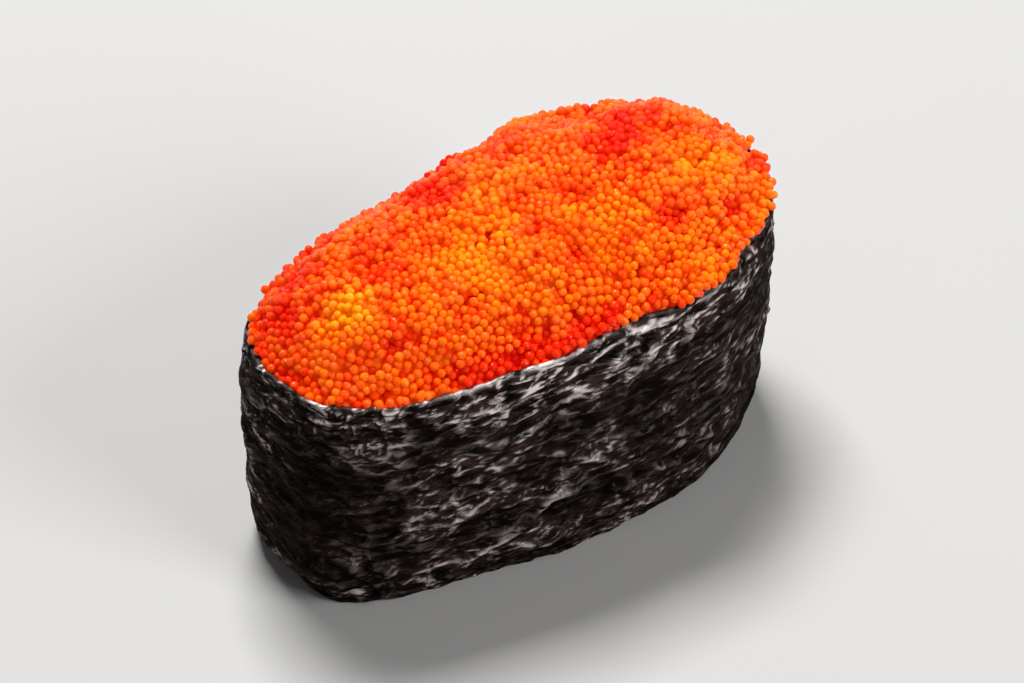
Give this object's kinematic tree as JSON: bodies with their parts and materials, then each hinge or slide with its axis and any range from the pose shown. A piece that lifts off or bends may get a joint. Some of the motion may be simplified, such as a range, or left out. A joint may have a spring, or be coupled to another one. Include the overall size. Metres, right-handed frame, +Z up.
{
  "type": "gunkan sushi",
  "caption": "Oval sushi piece: a block of pressed rice wrapped in a damp nori strip, its top filled with a lumpy mound of tiny orange fish roe.",
  "frame": {"origin": "bottom centre of the piece's box, on the surface that it stands on", "axes": "+X along the piece towards its wider, rounder end, +Z up, and the nori's overlap on the +Y side"},
  "size_m": [0.053, 0.0298, 0.033],
  "materials": {
    "nori": "near-black damp seaweed sheet, finely wrinkled along the strip, with a wet gloss on the wrinkles",
    "rice": "pressed cooked rice grains, white and slightly translucent, satin",
    "roe": "translucent glossy eggs, bright orange on top and deep red in the gaps and at the edge"
  },
  "bodies": {
    "root": {"nori_band": "nori", "rice": "rice", "roe_heap": "roe"}
  },
  "joints": []
}
